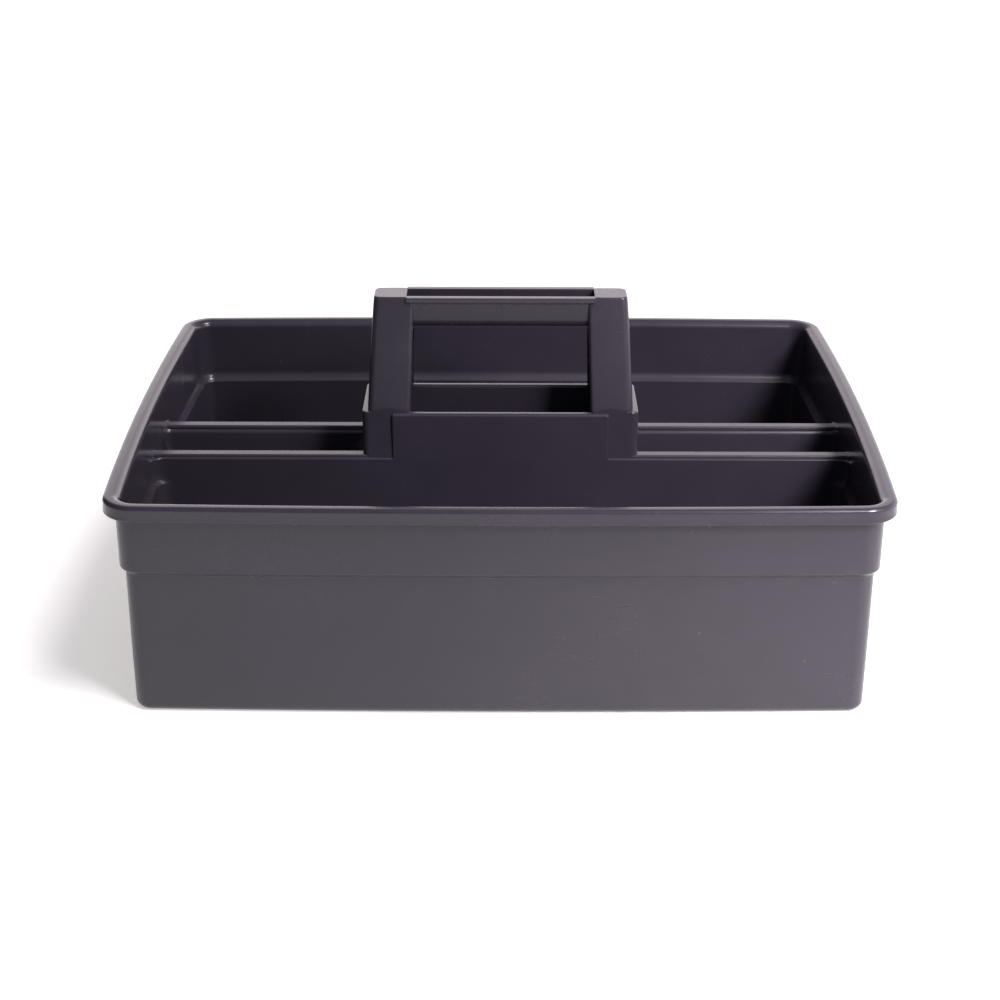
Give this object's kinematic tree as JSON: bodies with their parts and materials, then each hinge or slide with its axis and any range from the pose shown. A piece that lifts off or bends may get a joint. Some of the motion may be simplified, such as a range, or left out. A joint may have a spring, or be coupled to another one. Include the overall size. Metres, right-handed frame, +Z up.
{
  "type": "tool storage caddy",
  "caption": "Open moulded plastic caddy with two bays, a centre channel and a raised carrying handle with an open trough grip.",
  "frame": {"origin": "centre of the base, on the surface that it stands on", "axes": "+X along the length, to the right seen from the front; +Y to the back; +Z up"},
  "size_m": [0.4, 0.3, 0.1815],
  "materials": {
    "tub_plastic": "satin charcoal moulded polypropylene",
    "handle_plastic": "satin charcoal moulded polypropylene"
  },
  "bodies": {
    "root": {"tub": "tub_plastic", "front_divider": "tub_plastic", "rear_divider": "tub_plastic", "front_panel": "handle_plastic", "rear_panel": "handle_plastic", "left_leg": "handle_plastic", "right_leg": "handle_plastic", "grip": "handle_plastic"}
  },
  "joints": []
}
